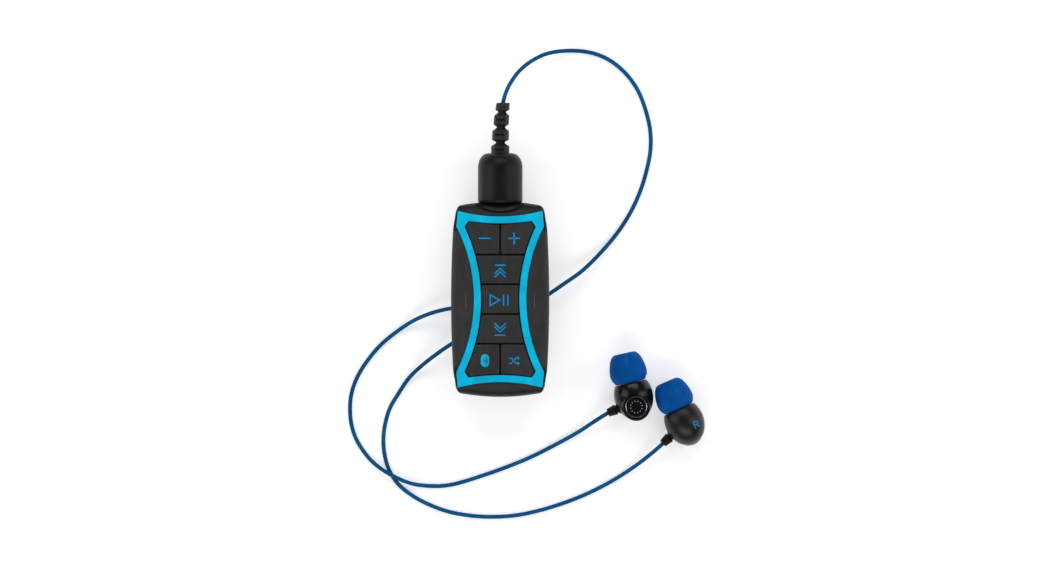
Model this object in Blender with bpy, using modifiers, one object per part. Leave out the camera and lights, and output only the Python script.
"""A clip-on sports audio player with seven keys, a sealed corded plug and two ear buds.

The player lies on the outer face of its clip, with its keys up (+Z) and its plug towards +Y.
"""
import math

import bmesh
import bpy
from mathutils import Matrix, Vector
from mathutils.geometry import intersect_point_line

MM = 0.001

# Clearances
GAP = 0.3 * MM                 # between pieces that touch
KEY_GROOVE = 0.5 * MM          # between two keys
KEY_EDGE_GROOVE = 0.35 * MM    # between a key and the bezel
KEY_TRAVEL = 0.5 * MM

# Case
BODY_LENGTH = 63.4 * MM
BODY_WIDTH = 31.8 * MM
REAR_DEPTH = 6.2 * MM          # from the back to the split between the shells
FRONT_DEPTH = 6.5 * MM         # from the split to the face
END_BULGE = 1.4 * MM
SIDE_BULGE = 0.7 * MM
SHOULDER_LENGTH = 6.9 * MM     # straight stretch of each side next to an end
SHOULDER_TAPER = 1.4 * MM
WALL = 2.0 * MM
FLOOR = 1.4 * MM
FACE_ROUNDING = 1.6 * MM
BACK_ROUNDING = 2.2 * MM
GASKET_INSET = 1.1 * MM
GASKET_WIDTH = 0.7 * MM
GASKET_HEIGHT = 1.2 * MM

# Side grips
GRIP_LENGTH = 44.0 * MM
GRIP_SKIRT = 1.7 * MM
GRIP_LID = 1.5 * MM
GRIP_HEIGHT = 4.5 * MM

# Bezel and keys
BEZEL_THICKNESS = 1.1 * MM
BEZEL_RISE = 0.5 * MM          # above the face
BEZEL_END_MARGIN = 3.1 * MM    # from the end of the body to the bezel's corner
BEZEL_SIDE_MARGIN = 1.7 * MM
BEZEL_ARM_WIDTH = 2.25 * MM
BEZEL_BAR_WIDTH = 2.3 * MM
BEZEL_CORNER_CUT = 5.0 * MM
BEZEL_END_DIP = 1.8 * MM
BEZEL_CORNER_STEP = 0.55 * MM   # of each corner in from the bezel's widest points
WAIST = 12.4 * MM              # width of the key window at its middle
WINDOW_CORNER_WIDTH = 23.0 * MM
WINDOW_CHAMFER = (1.3 * MM, 1.9 * MM)
WINDOW_END_DIP = 0.8 * MM
MIDDLE_KEY_LENGTH = 9.6 * MM
KEY_THICKNESS = 2.1 * MM
KEY_RISE = 0.25 * MM
PLUNGER_RADIUS = 1.0 * MM
MAT_THICKNESS = 0.7 * MM
MAT_BORDER = 1.2 * MM

# Inside
BOARD_THICKNESS = 0.8 * MM
BOARD_LENGTH = 46.8 * MM
DOME_RADIUS = 1.6 * MM
DOME_HEIGHT = 0.45 * MM
BATTERY = (18.0 * MM, 27.0 * MM, 3.2 * MM)
PROCESSOR = (5.0 * MM, 6.0 * MM, 0.9 * MM)
MEMORY = (5.0 * MM, 8.0 * MM, 1.0 * MM)
WIRELESS = (8.0 * MM, 6.0 * MM, 1.1 * MM)
CASE_SCREW_RADIUS = 0.6 * MM
CASE_SCREW_HEAD = (1.7 * MM, 1.2 * MM)
CASE_SCREW_MARGIN = (6.3 * MM, 5.2 * MM)

# Plug, socket and strain relief
PIN_RADIUS = 1.75 * MM
PIN_REACH = 14.0 * MM
SOCKET_WALL = 0.75 * MM
SOCKET_CLEARANCE = 0.2 * MM    # all round the pin
SEAL_STANDOFF = 0.6 * MM       # from the pin to the middle of the ring's section
SEAL_BEAD = 0.42 * MM
SEAL_DEPTH = 0.7 * MM          # of the ring below the end of the body
COLLAR_RADIUS = 5.0 * MM
COLLAR_BORE = PIN_RADIUS + SEAL_STANDOFF + SEAL_BEAD + 0.23 * MM   # radius, clear of the ring
COLLAR_THICKNESS = 0.6 * MM
COLLAR_DEPTH = 0.5 * MM        # of the collar's face below the end of the body
PLUG_RADIUS = 7.25 * MM
PLUG_LENGTH = 15.6 * MM
PLUG_STANDOFF = 0.05 * MM      # from the end of the body to the plug
PLUG_TOP_RADIUS = 3.85 * MM
PLUG_SHOULDER = 4.6 * MM
PLUG_NOSE_BEVEL = 0.9 * MM
RELIEF_LENGTH = 16.0 * MM
RELIEF_RADII = (3.0 * MM, 2.4 * MM)
RELIEF_LEAN = 0.9 * MM
RELIEF_RIBS = 4
RELIEF_NECK_SHARE = 0.14       # length of a neck, as a share of the pitch of the ribs
RELIEF_NECK_RADIUS = 0.53      # as a share of the rib before it

# Clip
CLIP_WIDTH = 12.0 * MM
CLIP_LENGTH = 32.0 * MM
CLIP_CORNER = 2.5 * MM
LEVER_THICKNESS = 1.2 * MM
JAW_GAP = 2.8 * MM
BASE_THICKNESS = 1.2 * MM
CORD_PASSAGE = 2.6 * MM        # between the clip's base and the back of the body
HINGE_OFFSET = 7.0 * MM        # from the swivel to the hinge pin
HINGE_PIN_RADIUS = 0.6 * MM
EAR_RADIUS = 1.1 * MM
EAR_THICKNESS = 1.0 * MM
SPRING_RADIUS = 1.0 * MM
SPRING_WIRE = 0.18 * MM
SPRING_TURNS = 4
POST_RADIUS = 4.0 * MM
POST_STEM_RADIUS = 1.7 * MM
SWIVEL_SCREW_RADIUS = 0.7 * MM
SWIVEL_HEAD = (3.0 * MM, 0.6 * MM)

# Cords and ear buds
CORD_RADIUS = 0.675 * MM
CORD_STEP = 3.3 * MM
YOKE = (6.4 * MM, 3.4 * MM, 1.8 * MM)
BUD_RADIUS = 6.4 * MM
BUD_LENGTH = 12.3 * MM
BUD_OPENING = 0.31             # of half a turn, from the axis to the rim that the tip covers
BUD_CLEARANCE = 0.05 * MM      # between a bud and the surface
TIP_RADIUS = 6.1 * MM
TIP_BASE_RADIUS = 4.8 * MM
TIP_TOP_RADIUS = 3.6 * MM
TIP_LENGTH = 9.7 * MM
NOZZLE_RADIUS = 2.0 * MM
NOZZLE_WALL = 0.6 * MM
CAP_RADIUS = 3.8 * MM
CAP_THICKNESS = 1.4 * MM
CAP_DISTANCE = 8.1 * MM        # from the tip's base to the middle of the cap
DRIVER_THICKNESS = 2.6 * MM
BOOT_RADII = (1.9 * MM, 1.35 * MM)
BOOT_LENGTH = 4.3 * MM

# Heights, from the surface up
LEVER_TOP = LEVER_THICKNESS
BASE_LOW = LEVER_TOP + JAW_GAP
BASE_TOP = BASE_LOW + BASE_THICKNESS
BACK = BASE_TOP + CORD_PASSAGE
SPLIT = BACK + REAR_DEPTH
FACE = SPLIT + FRONT_DEPTH
BEZEL_TOP = FACE + BEZEL_RISE
BEZEL_LOW = BEZEL_TOP - BEZEL_THICKNESS
KEY_TOP = FACE + KEY_RISE
KEY_LOW = KEY_TOP - KEY_THICKNESS
MAT_TOP = KEY_LOW - KEY_TRAVEL - GAP
MAT_LOW = MAT_TOP - MAT_THICKNESS
GRIP_LOW = FACE - GRIP_HEIGHT
BOARD_TOP = SPLIT - 0.2 * MM
BOARD_LOW = BOARD_TOP - BOARD_THICKNESS
DOME_TOP = BOARD_TOP + GAP + DOME_HEIGHT
PLUNGER_LOW = DOME_TOP + KEY_TRAVEL + 0.15 * MM
CAVITY_FLOOR = BACK + FLOOR
CAVITY_TOP = MAT_LOW + 0.1 * MM
PLUG_AXIS = SPLIT
BODY_END = BODY_LENGTH / 2
RELIEF_END = BODY_END + PLUG_STANDOFF + PLUG_LENGTH + GAP + RELIEF_LENGTH

# Cord routes in millimetres, in the order x, y, z. The main one is drawn from a relief that ends here
ROUTE_START = Vector((0.0, 63.65 * MM, 14.0 * MM))
MAIN_ROUTE = [
    (1.0, 64.1, 14.0), (1.8, 66.9, 13.6), (3.4, 70.3, 12.2), (6.3, 74.3, 9.6), (10.6, 77.8, 6.4),
    (15.8, 80.2, 3.6), (22.6, 81.1, 1.4), (29.4, 80.5, 0.72), (35.5, 78.1, 0.72),
    (40.8, 73.8, 0.72), (44.8, 68.3, 0.72), (47.4, 61.8, 0.72), (48.9, 55.2, 0.72),
    (49.0, 48.7, 0.72), (47.8, 42.2, 0.72), (45.8, 35.6, 0.72), (42.9, 29.1, 0.72),
    (38.9, 22.6, 0.9), (33.5, 16.0, 1.9), (27.0, 9.5, 3.9), (20.6, 4.9, 5.8), (16.4, 2.0, 6.35),
    (14.8, 0.9, 6.4),
]
LEAD_1_ROUTE = [
    (8.4, -3.0, 6.3), (4.6, -5.0, 6.25), (0.0, -5.6, 6.2), (-5.0, -4.4, 6.2), (-10.2, -2.9, 6.2),
    (-15.9, -3.0, 6.1), (-22.0, -4.4, 4.6), (-27.9, -6.8, 2.6), (-33.4, -10.3, 1.1),
    (-39.1, -15.0, 0.72), (-43.5, -20.2, 0.72), (-46.7, -25.4, 0.72), (-48.6, -30.7, 0.72),
    (-49.1, -35.9, 0.72), (-48.6, -41.1, 0.72), (-46.8, -46.3, 0.72), (-43.2, -51.6, 1.0),
    (-39.2, -55.2, 1.9), (-34.8, -57.8, 2.45), (-29.7, -60.0, 1.9), (-24.8, -60.9, 1.0),
    (-19.1, -61.0, 0.72), (-13.8, -60.1, 0.72), (-6.0, -57.7, 0.72), (1.9, -54.9, 0.72),
    (9.7, -51.7, 0.72), (17.5, -47.8, 0.8), (25.4, -43.4, 1.8), (30.8, -39.8, 3.6),
    (34.7, -37.3, 4.9),
]
LEAD_2_ROUTE = [
    (8.4, -4.5, 6.3), (5.2, -6.9, 6.25), (1.0, -8.4, 6.2), (-4.4, -9.6, 6.2), (-9.8, -11.6, 6.2),
    (-15.4, -14.3, 6.1), (-20.5, -17.7, 4.9), (-25.5, -21.6, 3.0), (-29.7, -25.6, 1.4),
    (-33.2, -30.7, 0.72), (-36.2, -35.9, 0.72), (-37.8, -41.7, 0.72), (-38.2, -47.2, 0.72),
    (-37.5, -52.3, 0.72), (-35.8, -56.9, 0.72), (-33.1, -60.7, 0.72), (-29.3, -63.8, 0.72),
    (-24.6, -66.5, 0.72), (-17.7, -69.2, 0.72), (-9.9, -70.7, 0.72), (-2.0, -71.1, 0.72),
    (5.8, -70.5, 0.72), (13.6, -68.8, 0.72), (21.5, -66.3, 0.72), (29.3, -63.1, 0.72),
    (37.1, -59.0, 0.9), (44.1, -54.4, 2.0), (49.3, -50.3, 3.9), (52.6, -47.4, 4.9),
]
YOKE_PLACE = Vector((11.6 * MM, -1.45 * MM, 6.35 * MM))
YOKE_TURN = math.atan2(3.9, 5.9)
BUDS = {
    "1": {"base": Vector((42.4 * MM, -27.1 * MM)), "nozzle": Vector((-0.22, 0.975)), "cap_side": 1,
          "boot_end": Vector((35.0 * MM, -37.1 * MM)), "boot_way": Vector((0.92, 0.39))},
    "2": {"base": Vector((58.1 * MM, -35.7 * MM)), "nozzle": Vector((-0.40, 0.917)), "cap_side": -1,
          "boot_end": Vector((52.9 * MM, -47.1 * MM)), "boot_way": Vector((0.73, 0.68))},
}
BOOT_HEIGHT = 5.0 * MM

COLOURS = {                    # red, green, blue, roughness, metallic
    "case_black": (0.012, 0.012, 0.013, 0.45, 0.0),
    "grip_grey": (0.036, 0.036, 0.037, 0.6, 0.0),
    "bezel_blue": (0.0, 0.47, 1.0, 0.35, 0.0),
    "key_grey": (0.033, 0.032, 0.032, 0.7, 0.0),
    "membrane_grey": (0.06, 0.06, 0.06, 0.8, 0.0),
    "plug_black": (0.012, 0.012, 0.013, 0.4, 0.0),
    "cord_blue": (0.003, 0.08, 0.24, 0.5, 0.0),
    "tip_blue": (0.0, 0.09, 0.36, 0.65, 0.0),
    "bud_black": (0.008, 0.008, 0.01, 0.12, 0.0),
    "steel": (0.55, 0.55, 0.56, 0.3, 1.0),
    "gold": (0.75, 0.55, 0.22, 0.25, 1.0),
    "board_green": (0.01, 0.09, 0.04, 0.5, 0.0),
    "chip_black": (0.02, 0.02, 0.022, 0.5, 0.0),
    "battery_silver": (0.5, 0.5, 0.52, 0.4, 0.6),
}


def clear_scene():
    for thing in list(bpy.data.objects):
        bpy.data.objects.remove(thing, do_unlink=True)


def new_collection(name):
    collection = bpy.data.collections.new(name)
    bpy.context.scene.collection.children.link(collection)
    return collection


def material(name):
    found = bpy.data.materials.get(name)
    if found:
        return found
    red, green, blue, roughness, metallic = COLOURS[name]
    made = bpy.data.materials.new(name)
    made.use_nodes = True
    surface = made.node_tree.nodes["Principled BSDF"]
    surface.inputs["Base Color"].default_value = (red, green, blue, 1.0)
    surface.inputs["Roughness"].default_value = roughness
    surface.inputs["Metallic"].default_value = metallic
    made.diffuse_color = (red, green, blue, 1.0)
    return made


def add_object(name, mesh, finish):
    """A part when it has a finish, and a cutter or tool when it has none."""
    thing = bpy.data.objects.new(name, mesh)
    if finish:
        mesh.materials.append(material(finish))
        parts.objects.link(thing)
    else:
        thing.hide_render = True
        thing.display_type = "WIRE"
        cutters.objects.link(thing)
    return thing


def combine(target, tool, operation):
    modifier = target.modifiers.new(operation.title() + "_" + tool.name, "BOOLEAN")
    modifier.operation = operation
    modifier.solver = "EXACT"
    modifier.object = tool


def cut(target, *tools):
    for tool in tools:
        combine(target, tool, "DIFFERENCE")


def join(target, *tools):
    for tool in tools:
        combine(target, tool, "UNION")


def smooth(thing, angle=35):
    thing.data.shade_smooth()
    thing.data.set_sharp_from_angle(angle=math.radians(angle))


# Outlines, counterclockwise lists of 2D points

def arc(start, end, bulge, steps):
    """Points from start up to but not including end, bulging to the right of the way there."""
    start, end = Vector(start), Vector(end)
    if abs(bulge) < 1e-9:
        return [start]
    chord = end - start
    half = chord.length / 2
    radius = (half * half + bulge * bulge) / (2 * abs(bulge))
    outward = Vector((chord.y, -chord.x)).normalized() * math.copysign(1, bulge)
    centre = (start + end) / 2 - outward * (radius - abs(bulge))
    spread = math.asin(min(1.0, half / radius))
    points = []
    for step in range(steps):
        angle = -spread + 2 * spread * step / steps
        points.append(centre + outward * radius * math.cos(angle)
                      + chord.normalized() * radius * math.sin(angle))
    return points


def away_from(point, outline):
    """How far a point lies from the nearest edge of an outline."""
    nearest = math.inf
    for index, end in enumerate(outline):
        start = outline[index - 1]
        along, share = intersect_point_line(point, start, end)
        along = start if share < 0 else end if share > 1 else Vector(along[:2])
        nearest = min(nearest, (point - along).length)
    return nearest


def inset(outline, distance):
    """An outline moved inwards, without the points that would cross over at its corners."""
    if not distance:
        return list(outline)
    moved = []
    for index, here in enumerate(outline):
        before = (here - outline[index - 1]).normalized()
        after = (outline[(index + 1) % len(outline)] - here).normalized()
        normal = Vector((-before.y, before.x))
        mitre = (normal + Vector((-after.y, after.x))).normalized()
        moved.append(here + mitre * (distance / mitre.dot(normal)))
    return [point for point in moved if away_from(point, outline) >= abs(distance) * 0.999]


def clip(outline, normal, limit):
    """The part of an outline where normal . point is at least limit."""
    normal = Vector(normal)
    kept = []
    for index, here in enumerate(outline):
        before = outline[index - 1]
        here_depth, before_depth = here.dot(normal) - limit, before.dot(normal) - limit
        if (here_depth >= 0) != (before_depth >= 0):
            kept.append(before.lerp(here, before_depth / (before_depth - here_depth)))
        if here_depth >= 0:
            kept.append(here)
    return kept


def mirrored_ends(quarter_side, quarter_end):
    """A four-way symmetric outline from its right side and its +Y end."""
    turned = [Vector((-point.x, -point.y)) for point in quarter_side + quarter_end]
    return quarter_side + quarter_end + turned


def body_outline():
    corner = Vector((BODY_WIDTH / 2 - SIDE_BULGE - SHOULDER_TAPER, BODY_END - END_BULGE))
    shoulder = Vector((corner.x + SHOULDER_TAPER, corner.y - SHOULDER_LENGTH))
    side = [Vector((corner.x, -corner.y))]
    side += arc((shoulder.x, -shoulder.y), shoulder, SIDE_BULGE, 8) + [shoulder]
    return mirrored_ends(side, arc(corner, (-corner.x, corner.y), END_BULGE, 8))


def bezel_outline():
    side_x = BODY_WIDTH / 2 - BEZEL_SIDE_MARGIN
    corner = Vector((side_x - BEZEL_CORNER_STEP, BODY_END - BEZEL_END_MARGIN))
    elbow = Vector((side_x, corner.y - BEZEL_CORNER_CUT))
    dip = side_x - WAIST / 2 - BEZEL_ARM_WIDTH
    side = [Vector((corner.x, -corner.y))] + arc((elbow.x, -elbow.y), elbow, -dip, 12) + [elbow]
    return mirrored_ends(side, arc(corner, (-corner.x, corner.y), -BEZEL_END_DIP, 8))


def window_end():
    return BODY_END - BEZEL_END_MARGIN - BEZEL_END_DIP - BEZEL_BAR_WIDTH + WINDOW_END_DIP


def window_outline():
    chamfer_x, chamfer_y = WINDOW_CHAMFER
    corner = Vector((WINDOW_CORNER_WIDTH / 2 - chamfer_x, window_end()))
    elbow = Vector((WINDOW_CORNER_WIDTH / 2, corner.y - chamfer_y))
    side = [Vector((corner.x, -corner.y))]
    side += arc((elbow.x, -elbow.y), elbow, -(elbow.x - WAIST / 2), 12) + [elbow]
    return mirrored_ends(side, arc(corner, (-corner.x, corner.y), -WINDOW_END_DIP, 6))


def rounded_rectangle(width, length, corner):
    x, y = width / 2, length / 2
    bulge = corner * (1 - math.sqrt(0.5))
    return mirrored_ends(arc((x - corner, -y), (x, -y + corner), bulge, 4) + [Vector((x, -y + corner))],
                         arc((x, y - corner), (x - corner, y), bulge, 4) + [Vector((x - corner, y))])


# Solids

def plate(name, outline, low, high, finish=None, round_top=0.0, round_low=0.0, holes=()):
    """A flat piece from an outline, with its upper or lower edge rounded."""
    curve = bpy.data.curves.new(name, "CURVE")
    curve.dimensions = "2D"
    curve.fill_mode = "BOTH"
    curve.extrude = (high - low) / 2
    for loop in [outline] + list(holes):
        spline = curve.splines.new("POLY")
        spline.points.add(len(loop) - 1)
        for point, place in zip(spline.points, loop):
            point.co = (place.x, place.y, 0.0, 1.0)
        spline.use_cyclic_u = True
    drawn = bpy.data.objects.new(name + "_outline", curve)
    mesh = bpy.data.meshes.new_from_object(drawn)
    bpy.data.objects.remove(drawn)
    shape = bmesh.new()
    shape.from_mesh(mesh)
    bmesh.ops.remove_doubles(shape, verts=shape.verts, dist=1e-6)
    bmesh.ops.translate(shape, verts=shape.verts, vec=(0, 0, (low + high) / 2))
    if not holes:
        bmesh.ops.dissolve_limit(shape, angle_limit=0.001, verts=shape.verts, edges=shape.edges)
    for level, radius in ((high, round_top), (low, round_low)):
        if radius:
            rim = [edge for edge in shape.edges
                   if all(abs(vertex.co.z - level) < 1e-6 for vertex in edge.verts)]
            bmesh.ops.bevel(shape, geom=rim, offset=radius, segments=2, profile=0.5, affect="EDGES")
    bmesh.ops.recalc_face_normals(shape, faces=shape.faces)
    if shape.calc_volume(signed=True) < 0:
        bmesh.ops.reverse_faces(shape, faces=shape.faces)
    shape.to_mesh(mesh)
    shape.free()
    thing = add_object(name, mesh, finish)
    smooth(thing)
    return thing


def circle(x, y, radius, steps=20):
    return [Vector((x + radius * math.cos(2 * math.pi * step / steps),
                    y + radius * math.sin(2 * math.pi * step / steps))) for step in range(steps)]


def placed(origin, axis):
    """The matrix that stands local +Z along an axis at a place."""
    return Matrix.Translation(Vector(origin)) @ Vector(axis).to_track_quat("Z", "Y").to_matrix().to_4x4()


def cylinder(name, radius, start, axis, length, finish=None, top_radius=None, steps=16):
    mesh = bpy.data.meshes.new(name)
    shape = bmesh.new()
    bmesh.ops.create_cone(shape, cap_ends=True, segments=steps, radius1=radius,
                          radius2=radius if top_radius is None else top_radius, depth=length)
    bmesh.ops.translate(shape, verts=shape.verts, vec=(0, 0, length / 2))
    shape.to_mesh(mesh)
    shape.free()
    thing = add_object(name, mesh, finish)
    thing.matrix_world = placed(start, axis)
    smooth(thing)
    return thing


def box(name, size, centre, finish=None, rounding=0.0):
    mesh = bpy.data.meshes.new(name)
    shape = bmesh.new()
    bmesh.ops.create_cube(shape, size=1.0)
    bmesh.ops.scale(shape, verts=shape.verts, vec=size)
    if rounding:
        bmesh.ops.bevel(shape, geom=shape.edges, offset=rounding, segments=2, profile=0.5, affect="EDGES")
    shape.to_mesh(mesh)
    shape.free()
    thing = add_object(name, mesh, finish)
    thing.location = centre
    return thing


def turned(name, profile, origin, axis, finish=None, steps=32):
    """A profile of (radius, height) points, run down the outer side, turned about an axis."""
    mesh = bpy.data.meshes.new(name)
    points = [(radius, 0.0, height) for radius, height in profile]
    hollow = min(radius for radius, _ in profile) > 0
    edges = [(index, index + 1) for index in range(len(points) - 1)]
    if hollow:
        edges.append((len(points) - 1, 0))
    mesh.from_pydata(points, edges, [])
    thing = add_object(name, mesh, finish)
    screw = thing.modifiers.new("Turn", "SCREW")
    screw.steps = steps
    screw.render_steps = steps
    screw.use_merge_vertices = True
    screw.merge_threshold = 1e-5
    screw.use_smooth_shade = True
    thing.matrix_world = placed(origin, axis)
    return thing


def smooth_route(route):
    """Evenly spaced points on a smooth curve through a route given in millimetres."""
    knots = [Vector(place) * MM for place in route]
    ends = [knots[0] * 2 - knots[1]] + knots + [knots[-1] * 2 - knots[-2]]
    fine = []
    for first, start, end, last in zip(ends, ends[1:], ends[2:], ends[3:]):
        for step in range(12):
            t = step / 12
            fine.append(0.5 * (2 * start + (end - first) * t
                               + (2 * first - 5 * start + 4 * end - last) * t ** 2
                               + (3 * start - first - 3 * end + last) * t ** 3))
    fine.append(knots[-1])
    lengths = [0.0]
    for before, after in zip(fine, fine[1:]):
        lengths.append(lengths[-1] + (after - before).length)
    count = round(lengths[-1] / CORD_STEP)
    points, index = [], 0
    for step in range(count + 1):
        wanted = lengths[-1] * step / count
        while index < len(fine) - 2 and lengths[index + 1] < wanted:
            index += 1
        share = (wanted - lengths[index]) / (lengths[index + 1] - lengths[index])
        place = fine[index].lerp(fine[index + 1], share)
        place.z = max(place.z, CORD_RADIUS + 0.02 * MM)
        points.append(place)
    return points


def wire(name, points, radius, finish):
    curve = bpy.data.curves.new(name, "CURVE")
    curve.dimensions = "3D"
    curve.bevel_depth = radius
    curve.bevel_resolution = 2
    curve.use_fill_caps = True
    spline = curve.splines.new("POLY")
    spline.points.add(len(points) - 1)
    for point, place in zip(spline.points, points):
        point.co = (*place, 1.0)
    curve.materials.append(material(finish))
    thing = bpy.data.objects.new(name, curve)
    parts.objects.link(thing)
    return thing


# The player

def case_screw_places():
    margin_x, margin_y = CASE_SCREW_MARGIN
    x, y = BODY_WIDTH / 2 - margin_x, BODY_END - margin_y
    return [(x, y), (-x, y), (-x, -y), (x, -y)]


def make_shells():
    outline = body_outline()
    window, bezel = window_outline(), bezel_outline()
    front = plate("front_shell", outline, SPLIT + GAP / 2, FACE, "case_black", round_top=FACE_ROUNDING)
    rear = plate("rear_shell", outline, BACK, SPLIT - GAP / 2, "case_black", round_low=BACK_ROUNDING)

    skirt_core = inset(outline, GRIP_SKIRT + GAP)
    room = inset(outline, GRIP_SKIRT + GAP + FLOOR)
    cut(front, plate("cut_front_cavity", room, SPLIT - WALL, CAVITY_TOP))
    for side, name in ((1, "left"), (-1, "right")):
        space = plate("cut_grip_space_" + name, grip_column(side, -GAP), GRIP_LOW - GAP, FACE + WALL)
        cut(space, plate("grip_core_" + name, skirt_core, SPLIT, FACE - GRIP_LID - GAP))
        cut(front, space)
    rebate = inset(outline, GASKET_INSET - GAP * 0.7)
    cut(front, plate("cut_front_rebate", rebate, SPLIT - WALL, SPLIT + GASKET_HEIGHT / 2 + GAP))

    cut(rear, plate("cut_rear_cavity", inset(outline, WALL), CAVITY_FLOOR, FACE),
        plate("cut_rear_rebate", rebate, SPLIT - GASKET_HEIGHT / 2 - GAP, FACE))
    head_radius, head_height = CASE_SCREW_HEAD
    for number, (x, y) in enumerate(case_screw_places(), 1):
        name = str(number)
        boss = CASE_SCREW_RADIUS + GAP + 1.0 * MM
        join(front, cylinder("front_boss_" + name, boss, (x, y, SPLIT + GAP / 2), (0, 0, 1),
                             CAVITY_TOP + GAP - SPLIT))
        join(rear, cylinder("rear_boss_" + name, head_radius + GAP + 0.8 * MM, (x, y, CAVITY_FLOOR - GAP),
                            (0, 0, 1), SPLIT - GAP / 2 - CAVITY_FLOOR + GAP, top_radius=boss))
        cut(front, cylinder("cut_front_thread_" + name, CASE_SCREW_RADIUS + GAP, (x, y, SPLIT - WALL),
                            (0, 0, 1), WALL + 2.4 * MM))
        cut(rear, cylinder("cut_rear_hole_" + name, CASE_SCREW_RADIUS + GAP, (x, y, BACK - WALL),
                           (0, 0, 1), FACE - BACK),
            cylinder("cut_rear_head_" + name, head_radius + GAP, (x, y, BACK - WALL), (0, 0, 1),
                     WALL + GAP + head_height + GAP))
        turned("case_screw_" + name, [
            (0, SPLIT + 1.9 * MM), (CASE_SCREW_RADIUS, SPLIT + 1.6 * MM),
            (CASE_SCREW_RADIUS, BACK + GAP + head_height), (head_radius, BACK + GAP + head_height),
            (head_radius, BACK + GAP + 0.3 * MM), (head_radius - 0.3 * MM, BACK + GAP), (0, BACK + GAP),
        ], (x, y, 0), (0, 0, 1), "steel", steps=12)

    pocket = inset(window, -(MAT_BORDER + GAP))
    cut(front, plate("cut_mat_pocket", pocket, MAT_LOW - GAP, MAT_TOP + GAP),
        plate("cut_bezel_seat", inset(bezel, -GAP), BEZEL_LOW - GAP, FACE + WALL),
        plate("cut_window", window, SPLIT, FACE + WALL))

    end_axis = (0, 1, 0)
    end_wall = GRIP_SKIRT + GAP + FLOOR + END_BULGE
    socket_hole = cylinder("cut_socket_hole", PIN_RADIUS + SOCKET_CLEARANCE + SOCKET_WALL + GAP,
                           (0, BODY_END - end_wall, PLUG_AXIS), end_axis, end_wall + WALL)
    collar_seat = cylinder("cut_collar_seat", COLLAR_RADIUS + GAP,
                           (0, BODY_END - 2 * COLLAR_THICKNESS - 0.1 * MM, PLUG_AXIS), end_axis, WALL)
    cut(front, socket_hole, collar_seat)
    cut(rear, socket_hole, collar_seat)
    cut(rear, cylinder("cut_post_hole", POST_STEM_RADIUS + GAP, (0, 0, BACK - WALL), (0, 0, 1), 2 * WALL))

    gasket = plate("shell_gasket", inset(outline, GASKET_INSET), SPLIT - GASKET_HEIGHT / 2,
                   SPLIT + GASKET_HEIGHT / 2, "membrane_grey",
                   holes=[inset(outline, GASKET_INSET + GASKET_WIDTH)])
    cut(gasket, cylinder("cut_gasket_gate", COLLAR_RADIUS + 2 * GAP,
                         (0, BODY_END - 2 * WALL, PLUG_AXIS), end_axis, 3 * WALL))


def grip_column(side, shrink):
    """The outline of a side grip: out past the body's side, and in to the bezel's arm."""
    half = GRIP_LENGTH / 2 - shrink
    arm = clip(clip(inset(bezel_outline(), -GAP - shrink), (0, 1), -half), (0, -1), -half)
    waist = [point for point in arm if point.x * side > 0 and abs(point.y) < half - 1e-7]
    waist.sort(key=lambda point: point.y)
    ends = [point for point in arm if point.x * side > 0 and abs(abs(point.y) - half) < 1e-7]
    ends.sort(key=lambda point: point.y)
    inner = [ends[0]] + waist + [ends[-1]]
    outer_x = side * BODY_WIDTH
    loop = inner + [Vector((outer_x, half)), Vector((outer_x, -half))]
    return loop[::-1] if side > 0 else loop


def make_grips():
    outline = body_outline()
    for side, name in ((-1, "left"), (1, "right")):
        grip = plate("side_grip_" + name, outline, GRIP_LOW, FACE, "grip_grey", round_top=FACE_ROUNDING)
        combine(grip, plate("grip_keep_" + name, grip_column(side, 0), SPLIT, FACE + WALL), "INTERSECT")
        cut(grip, plate("cut_grip_inside_" + name, inset(outline, GRIP_SKIRT), SPLIT, FACE - GRIP_LID))


def key_cells():
    """Each key's name, the middle of its plunger and its outline."""
    keys_outline = inset(window_outline(), KEY_EDGE_GROOVE)
    groove = KEY_GROOVE / 2
    edge = 1.5 * MIDDLE_KEY_LENGTH
    pair_y = (edge + window_end()) / 2
    pair_x = WINDOW_CORNER_WIDTH / 4 - 0.85 * MM
    cells = []
    for name, side, end in (("volume_down", -1, 1), ("volume_up", 1, 1),
                            ("wireless", -1, -1), ("shuffle", 1, -1)):
        shape = clip(clip(keys_outline, (0, end), edge + groove), (side, 0), groove)
        cells.append((name, Vector((side * pair_x, end * pair_y)), shape))
    for name, row in (("previous", 1), ("play", 0), ("next", -1)):
        middle = row * MIDDLE_KEY_LENGTH
        half = MIDDLE_KEY_LENGTH / 2 - groove
        shape = clip(clip(keys_outline, (0, 1), middle - half), (0, -1), -middle - half)
        cells.append((name, Vector((0, middle)), shape))
    return cells


def make_keys():
    plunger_holes = []
    for name, middle, shape in key_cells():
        key = plate("key_" + name, shape, KEY_LOW, KEY_TOP, "key_grey", round_top=0.25 * MM)
        join(key, cylinder("plunger_" + name, PLUNGER_RADIUS, (*middle, PLUNGER_LOW), (0, 0, 1),
                           KEY_LOW - PLUNGER_LOW + GAP, steps=12))
        plunger_holes.append(circle(*middle, PLUNGER_RADIUS + GAP, 12))
        turned("dome_" + name, [
            (0, DOME_TOP), (DOME_RADIUS * 0.55, DOME_TOP - 0.08 * MM),
            (DOME_RADIUS * 0.9, DOME_TOP - 0.25 * MM),
            (DOME_RADIUS, BOARD_TOP + GAP + 0.05 * MM), (DOME_RADIUS, BOARD_TOP + GAP), (0, BOARD_TOP + GAP),
        ], (*middle, 0), (0, 0, 1), "steel", steps=12)
    plate("keypad_mat", inset(window_outline(), -MAT_BORDER), MAT_LOW, MAT_TOP, "membrane_grey",
          holes=plunger_holes)


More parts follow.
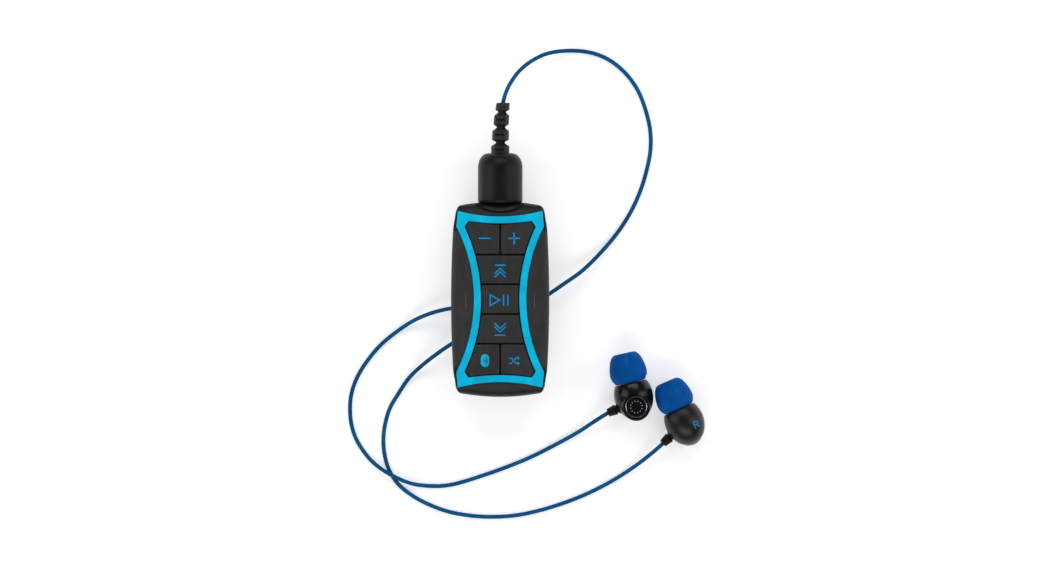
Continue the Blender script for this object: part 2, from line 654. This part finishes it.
def make_bezel():
    bezel = plate("bezel", bezel_outline(), BEZEL_LOW, BEZEL_TOP, "bezel_blue", round_top=0.25 * MM)
    cut(bezel, plate("cut_bezel_window", window_outline(), SPLIT, FACE + WALL))


def make_electronics():
    half = BOARD_LENGTH / 2
    outline = inset(body_outline(), GRIP_SKIRT + GAP + FLOOR + GAP)
    outline = clip(clip(outline, (0, 1), -half), (0, -1), -half)
    socket_radius = PIN_RADIUS + SOCKET_CLEARANCE + SOCKET_WALL
    board = plate("main_board", outline, BOARD_LOW, BOARD_TOP, "board_green")
    socket_back = BODY_END - PIN_REACH - 1.2 * MM
    cut(board, box("cut_board_notch", (2 * (socket_radius + GAP), 30 * MM, 2 * WALL),
                   (0, socket_back - GAP + 15 * MM, BOARD_LOW)))
    width, length, height = BATTERY
    box("battery", BATTERY, (0, 0.5 * MM, CAVITY_FLOOR + GAP + height / 2), "battery_silver",
        rounding=0.6 * MM)
    chip_x = 7.6 * MM
    for name, size, x, y in (("processor", PROCESSOR, -chip_x, 0.0), ("memory_chip", MEMORY, chip_x, 0.0)):
        box(name, size, (x, y, BOARD_TOP + GAP + size[2] / 2), "chip_black")
    box("wireless_module", WIRELESS, (0, -length / 2 - 5.5 * MM, BOARD_LOW - GAP - WIRELESS[2] / 2),
        "battery_silver")

    front = BODY_END - 2 * COLLAR_THICKNESS - 0.2 * MM
    bore = PIN_RADIUS + SOCKET_CLEARANCE
    turned("jack_socket", [
        (0, socket_back + 0.6 * MM), (bore, socket_back + 0.6 * MM), (bore, front),
        (socket_radius, front), (socket_radius, socket_back), (0, socket_back),
    ], (0, 0, PLUG_AXIS), (0, 1, 0), "chip_black", steps=24)
    collar_top = BODY_END - COLLAR_DEPTH
    turned("jack_collar", [
        (COLLAR_RADIUS, collar_top), (COLLAR_RADIUS, collar_top - COLLAR_THICKNESS),
        (COLLAR_BORE, collar_top - COLLAR_THICKNESS), (COLLAR_BORE, collar_top),
    ], (0, 0, PLUG_AXIS), (0, 1, 0), "case_black", steps=32)


def make_plug():
    axis = (0, 1, 0)
    foot = BODY_END + PLUG_STANDOFF
    top = foot + PLUG_LENGTH
    shoulder = []
    for step in range(6):
        angle = math.pi / 2 * step / 5
        shoulder.append((PLUG_TOP_RADIUS + (PLUG_RADIUS - PLUG_TOP_RADIUS) * math.sin(angle),
                         top - PLUG_SHOULDER + PLUG_SHOULDER * math.cos(angle)))
    bore = PIN_RADIUS + GAP
    root = foot + 4.0 * MM
    turned("plug_shell", [(0, top)] + shoulder + [
        (PLUG_RADIUS, foot + 1.2 * MM), (PLUG_RADIUS - PLUG_NOSE_BEVEL, foot), (bore, foot), (bore, root),
        (0, root),
    ], (0, 0, PLUG_AXIS), axis, "plug_black", steps=28)
    tip = BODY_END - PIN_REACH
    turned("plug_pin", [
        (0, root - GAP), (PIN_RADIUS, root - GAP), (PIN_RADIUS, tip + 4.2 * MM),
        (PIN_RADIUS - 0.45 * MM, tip + 3.4 * MM), (PIN_RADIUS - 0.2 * MM, tip + 1.6 * MM),
        (0.5 * MM, tip + 0.2 * MM), (0, tip),
    ], (0, 0, PLUG_AXIS), axis, "gold", steps=20)
    seal_radius, seal_bead = PIN_RADIUS + SEAL_STANDOFF, SEAL_BEAD
    seal_y = BODY_END - SEAL_DEPTH
    bead = [(seal_radius + seal_bead * math.cos(2 * math.pi * step / 8),
             seal_y - seal_bead * math.sin(2 * math.pi * step / 8)) for step in range(8)]
    turned("plug_seal", bead, (0, 0, PLUG_AXIS), axis, "membrane_grey", steps=20)
    make_strain_relief(top + GAP)


def make_strain_relief(foot):
    """Four ribs, each narrower than the last, joined by thin necks, leaning towards +X."""
    wide, narrow = RELIEF_RADII
    ribs, neck_share, neck_radius = RELIEF_RIBS, RELIEF_NECK_SHARE, RELIEF_NECK_RADIUS
    pitch = RELIEF_LENGTH / (ribs - neck_share)
    profile = []
    for rib in range(ribs):
        low = foot + rib * pitch
        high = low + pitch * (1 - neck_share)
        radius = wide + (narrow - wide) * rib / (ribs - 1)
        profile += [(radius, low), (radius * 0.97, high)]
        if rib < ribs - 1:
            profile += [(radius * neck_radius, high), (radius * neck_radius, low + pitch)]
    profile = [(0, foot)] + profile + [(0, profile[-1][1])]
    thing = turned("relief_profile", profile[::-1], (0, 0, PLUG_AXIS), (0, 1, 0), steps=20)
    bpy.context.view_layer.update()
    mesh = bpy.data.meshes.new_from_object(thing.evaluated_get(bpy.context.evaluated_depsgraph_get()))
    mesh.transform(thing.matrix_world)
    for vertex in mesh.vertices:
        share = (vertex.co.y - foot) / RELIEF_LENGTH
        vertex.co.x += RELIEF_LEAN * share * share
    bpy.data.objects.remove(thing)
    relief = add_object("strain_relief", mesh, "plug_black")
    smooth(relief)


def make_clip():
    base_outline = rounded_rectangle(CLIP_WIDTH, CLIP_LENGTH - 2 * MM, CLIP_CORNER)
    base = plate("clip_base", base_outline, BASE_LOW, BASE_TOP, "case_black")
    lever = plate("clip_lever", rounded_rectangle(CLIP_WIDTH, CLIP_LENGTH, CLIP_CORNER), 0.0, LEVER_TOP,
                  "case_black", round_low=0.3 * MM)
    pin_z = (LEVER_TOP + BASE_LOW) / 2
    outer_ear = CLIP_WIDTH / 2 - EAR_THICKNESS / 2 - 0.4 * MM
    inner_ear = outer_ear - EAR_THICKNESS - GAP
    reach = pin_z + EAR_RADIUS
    for side, name in ((-1, "left"), (1, "right")):
        x = side * outer_ear
        drop = pin_z - EAR_RADIUS
        join(base, box("base_ear_" + name, (EAR_THICKNESS, 2 * EAR_RADIUS, BASE_LOW + GAP - drop),
                       (x, HINGE_OFFSET, (BASE_LOW + GAP + drop) / 2)))
        x = side * inner_ear
        join(lever, box("lever_ear_" + name, (EAR_THICKNESS, 2 * EAR_RADIUS, reach - LEVER_TOP + GAP),
                        (x, HINGE_OFFSET, (reach + LEVER_TOP - GAP) / 2)))
    pin_hole = cylinder("cut_pin_hole", HINGE_PIN_RADIUS + GAP, (-CLIP_WIDTH, HINGE_OFFSET, pin_z),
                        (1, 0, 0), 2 * CLIP_WIDTH, steps=16)
    tooth = 1.5 * MM
    join(lever, box("jaw_tooth", (CLIP_WIDTH - 2 * CLIP_CORNER, tooth, JAW_GAP),
                    (0, -CLIP_LENGTH / 2 + 1.2 * MM + tooth / 2, LEVER_TOP + JAW_GAP / 2 - GAP)))
    cut(base, pin_hole)
    cut(lever, pin_hole)
    shoulder = SWIVEL_SCREW_RADIUS + 0.6 * MM
    cut(base, cylinder("cut_swivel_hole", shoulder + GAP, (0, 0, BASE_LOW - WALL), (0, 0, 1), 3 * WALL))
    cylinder("hinge_pin", HINGE_PIN_RADIUS, (-CLIP_WIDTH / 2 + 0.2 * MM, HINGE_OFFSET, pin_z), (1, 0, 0),
             CLIP_WIDTH - 0.4 * MM, "steel", steps=16)

    head_radius, head_height = SWIVEL_HEAD
    head_top = BASE_LOW - GAP
    thread_top = BACK + 0.4 * MM
    turned("swivel_screw", [
        (0, thread_top), (SWIVEL_SCREW_RADIUS, thread_top), (SWIVEL_SCREW_RADIUS, BASE_TOP),
        (shoulder, BASE_TOP), (shoulder, head_top), (head_radius, head_top),
        (head_radius - 0.2 * MM, head_top - head_height), (0, head_top - head_height),
    ], (0, 0, 0), (0, 0, 1), "steel", steps=24)
    bore = SWIVEL_SCREW_RADIUS + GAP
    bore_top = thread_top + GAP
    turned("swivel_post", [
        (0, CAVITY_FLOOR), (POST_STEM_RADIUS, CAVITY_FLOOR), (POST_STEM_RADIUS, BACK - GAP),
        (POST_RADIUS, BACK - GAP), (POST_RADIUS, BASE_TOP + GAP), (bore, BASE_TOP + GAP),
        (bore, bore_top), (0, bore_top),
    ], (0, 0, 0), (0, 0, 1), "steel", steps=32)

    points = []
    half = 1.6 * MM
    leg = 2.6 * MM
    sweep = 2 * math.pi * SPRING_TURNS + math.pi
    steps = SPRING_TURNS * 8 + 4
    for step in range(steps + 1):
        angle = sweep * step / steps
        points.append(Vector((-half + 2 * half * step / steps,
                              HINGE_OFFSET + SPRING_RADIUS * math.sin(angle),
                              pin_z + SPRING_RADIUS * math.cos(angle))))
    for end in (0, -1):
        foot = points[end] - Vector((0, leg, 0))
        points = [foot] + points if end == 0 else points + [foot]
    wire("clip_spring", points, SPRING_WIRE, "steel")


# Cords and ear buds

def main_route():
    """The main cord's route, with its first stretch moved to wherever the strain relief ends."""
    shift = (Vector((0.0, RELIEF_END, PLUG_AXIS)) - ROUTE_START) / MM
    route = []
    for number, place in enumerate(MAIN_ROUTE):
        share = min(1.0, max(0.0, 1.0 - (number - 1) / 9))
        route.append(Vector(place) + shift * share)
    return route


def make_cords():
    wire("cord_main", smooth_route(main_route()), CORD_RADIUS, "cord_blue")
    wire("cord_lead_1", smooth_route(LEAD_1_ROUTE), CORD_RADIUS, "cord_blue")
    wire("cord_lead_2", smooth_route(LEAD_2_ROUTE), CORD_RADIUS, "cord_blue")
    yoke = box("cord_yoke", YOKE, YOKE_PLACE, "plug_black", rounding=0.5 * MM)
    yoke.rotation_euler = (0, 0, YOKE_TURN)


def make_bud(number, place):
    """One ear bud, in a frame with its nozzle along +Z and its cap along +X."""
    nozzle_way = Vector((*place["nozzle"], 0)).normalized()
    cap_way = Vector((0, 0, place["cap_side"]))
    across = nozzle_way.cross(cap_way)
    height = BUD_RADIUS + BUD_CLEARANCE
    origin = Vector((*place["base"], height))
    turn = Matrix((cap_way, across, nozzle_way)).transposed().to_4x4()
    frame = Matrix.Translation(origin) @ turn

    def at(thing, local=Matrix.Identity(4)):
        thing.matrix_world = frame @ local
        return thing

    sideways = Matrix.Translation((0, 0, -CAP_DISTANCE)) @ Matrix.Rotation(math.pi / 2, 4, "Y")
    name = "bud_%s_" % number
    egg = []
    for step in range(9):
        angle = math.pi * (BUD_OPENING + (1 - BUD_OPENING) * step / 8)
        stretch = BUD_LENGTH / (math.cos(math.pi * BUD_OPENING) + 1)
        egg.append((max(0.0, BUD_RADIUS * math.sin(angle)) if step < 8 else 0.0,
                    -GAP - BUD_LENGTH + stretch * (1 + math.cos(angle))))
    housing = at(turned(name + "housing", [(0, egg[0][1])] + egg, (0, 0, 0), (0, 0, 1), "bud_black",
                        steps=24))
    drum_top = BUD_RADIUS - 0.8 * MM
    drum = at(cylinder("drum_" + number, CAP_RADIUS + GAP + 0.5 * MM, (0, 0, 0), (0, 0, 1), drum_top),
              sideways)
    pocket_floor = -DRIVER_THICKNESS / 2
    pocket = at(cylinder("cut_driver_pocket_" + number, CAP_RADIUS + GAP, (0, 0, 0), (0, 0, 1),
                         2 * BUD_RADIUS), sideways @ Matrix.Translation((0, 0, pocket_floor)))
    join(housing, drum)
    cut(housing, pocket)
    at(turned(name + "driver", [
        (0, DRIVER_THICKNESS), (CAP_RADIUS * 0.6, DRIVER_THICKNESS), (CAP_RADIUS, DRIVER_THICKNESS * 0.6),
        (CAP_RADIUS, 0), (0, 0),
    ], (0, 0, 0), (0, 0, 1), "chip_black", steps=24),
       sideways @ Matrix.Translation((0, 0, pocket_floor + GAP)))
    cap_low = drum_top - CAP_THICKNESS + 0.2 * MM
    at(turned(name + "cap", [
        (0, CAP_THICKNESS - 0.35 * MM), (CAP_RADIUS - 0.6 * MM, CAP_THICKNESS - 0.35 * MM),
        (CAP_RADIUS - 0.35 * MM, CAP_THICKNESS), (CAP_RADIUS, CAP_THICKNESS - 0.1 * MM),
        (CAP_RADIUS, 0), (0, 0),
    ], (0, 0, 0), (0, 0, 1), "bud_black", steps=24), sideways @ Matrix.Translation((0, 0, cap_low)))
    at(turned(name + "nozzle", [
        (NOZZLE_RADIUS, TIP_LENGTH - 1.2 * MM), (NOZZLE_RADIUS, 0), (NOZZLE_RADIUS - NOZZLE_WALL, 0),
        (NOZZLE_RADIUS - NOZZLE_WALL, TIP_LENGTH - 1.2 * MM),
    ], (0, 0, 0), (0, 0, 1), "bud_black", steps=20))
    bore = NOZZLE_RADIUS + GAP
    at(turned(name + "ear_tip", [
        (TIP_TOP_RADIUS - 1.0 * MM, TIP_LENGTH), (TIP_TOP_RADIUS, TIP_LENGTH - 0.15 * MM),
        (TIP_TOP_RADIUS + 1.0 * MM, TIP_LENGTH - 0.9 * MM), (TIP_RADIUS - 0.55 * MM, TIP_LENGTH * 0.72),
        (TIP_RADIUS - 0.08 * MM, TIP_LENGTH * 0.5), (TIP_RADIUS, TIP_LENGTH * 0.36),
        (TIP_RADIUS - 0.3 * MM, TIP_LENGTH * 0.18), (TIP_BASE_RADIUS, 0),
        (bore, 0), (bore, TIP_LENGTH - 0.6 * MM),
    ], (0, 0, 0), (0, 0, 1), "tip_blue", steps=24))

    way = Vector((*place["boot_way"], 0)).normalized()
    start = Vector((*place["boot_end"], BOOT_HEIGHT))
    wide, narrow = BOOT_RADII
    cylinder(name + "boot", narrow, start, way, BOOT_LENGTH, "plug_black", top_radius=wide, steps=12)
    boot_room = cylinder("cut_boot_room_" + number, wide + GAP, start, way, BOOT_LENGTH + GAP, steps=16)
    cut(housing, boot_room)


clear_scene()
parts = new_collection("clip_on_audio_player")
cutters = new_collection("cutters")
make_shells()
make_grips()
make_bezel()
make_keys()
make_electronics()
make_plug()
make_clip()
make_cords()
for bud_number, bud_place in BUDS.items():
    make_bud(bud_number, bud_place)
